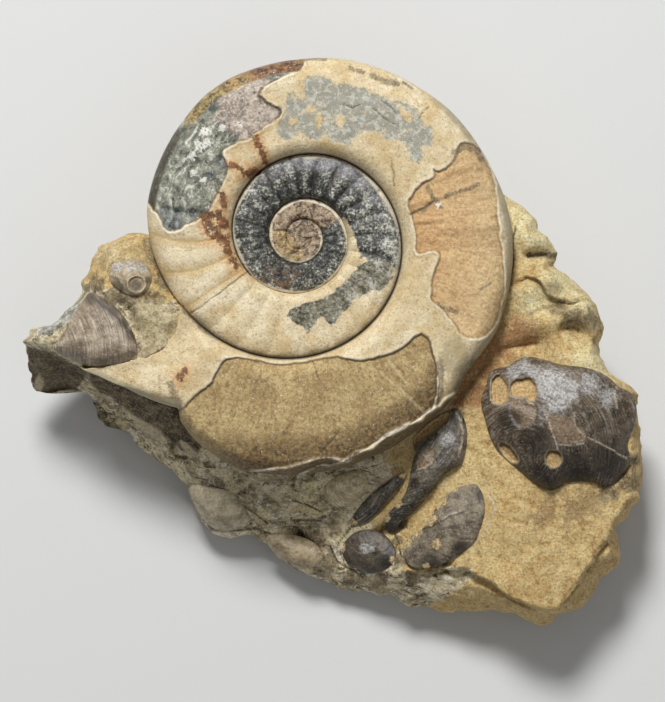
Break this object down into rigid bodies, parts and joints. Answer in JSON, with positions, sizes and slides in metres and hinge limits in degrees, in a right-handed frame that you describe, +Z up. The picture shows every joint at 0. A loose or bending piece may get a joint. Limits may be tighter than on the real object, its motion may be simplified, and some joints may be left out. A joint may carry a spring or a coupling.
{
  "type": "leptechioceras ammonite in matrix",
  "caption": "Leptechioceras ammonite on a loose block of ochre matrix with dark and pale bivalve shells.",
  "frame": {"origin": "centre of the footprint, on the surface that the block rests on", "axes": "+X towards the large bivalve, +Y towards the ammonite, +Z up"},
  "size_m": [0.1214, 0.1072, 0.0396],
  "materials": {
    "matrix": "rough ochre stone",
    "ammonite": "cream fossil shell over tan and dark moulds",
    "large_bivalve": "dark glossy fossil shell",
    "long_bivalve": "dark glossy fossil shell",
    "shell_strip": "dark fossil shell",
    "round_bivalve": "dark fossil shell",
    "grey_bivalve": "grey fossil shell",
    "ribbed_shell": "grey-brown ribbed fossil shell",
    "ringed_shell": "pale fossil shell",
    "pale_bivalve": "pale translucent fossil shell",
    "bulging_shell": "pale translucent fossil shell",
    "swirled_shell": "pale fossil shell"
  },
  "bodies": {
    "root": {"matrix": "matrix", "ammonite": "ammonite", "large_bivalve": "large_bivalve", "long_bivalve": "long_bivalve", "shell_strip": "shell_strip", "round_bivalve": "round_bivalve", "grey_bivalve": "grey_bivalve", "ribbed_shell": "ribbed_shell", "ringed_shell": "ringed_shell", "pale_bivalve": "pale_bivalve", "bulging_shell": "bulging_shell", "swirled_shell": "swirled_shell"}
  },
  "joints": []
}
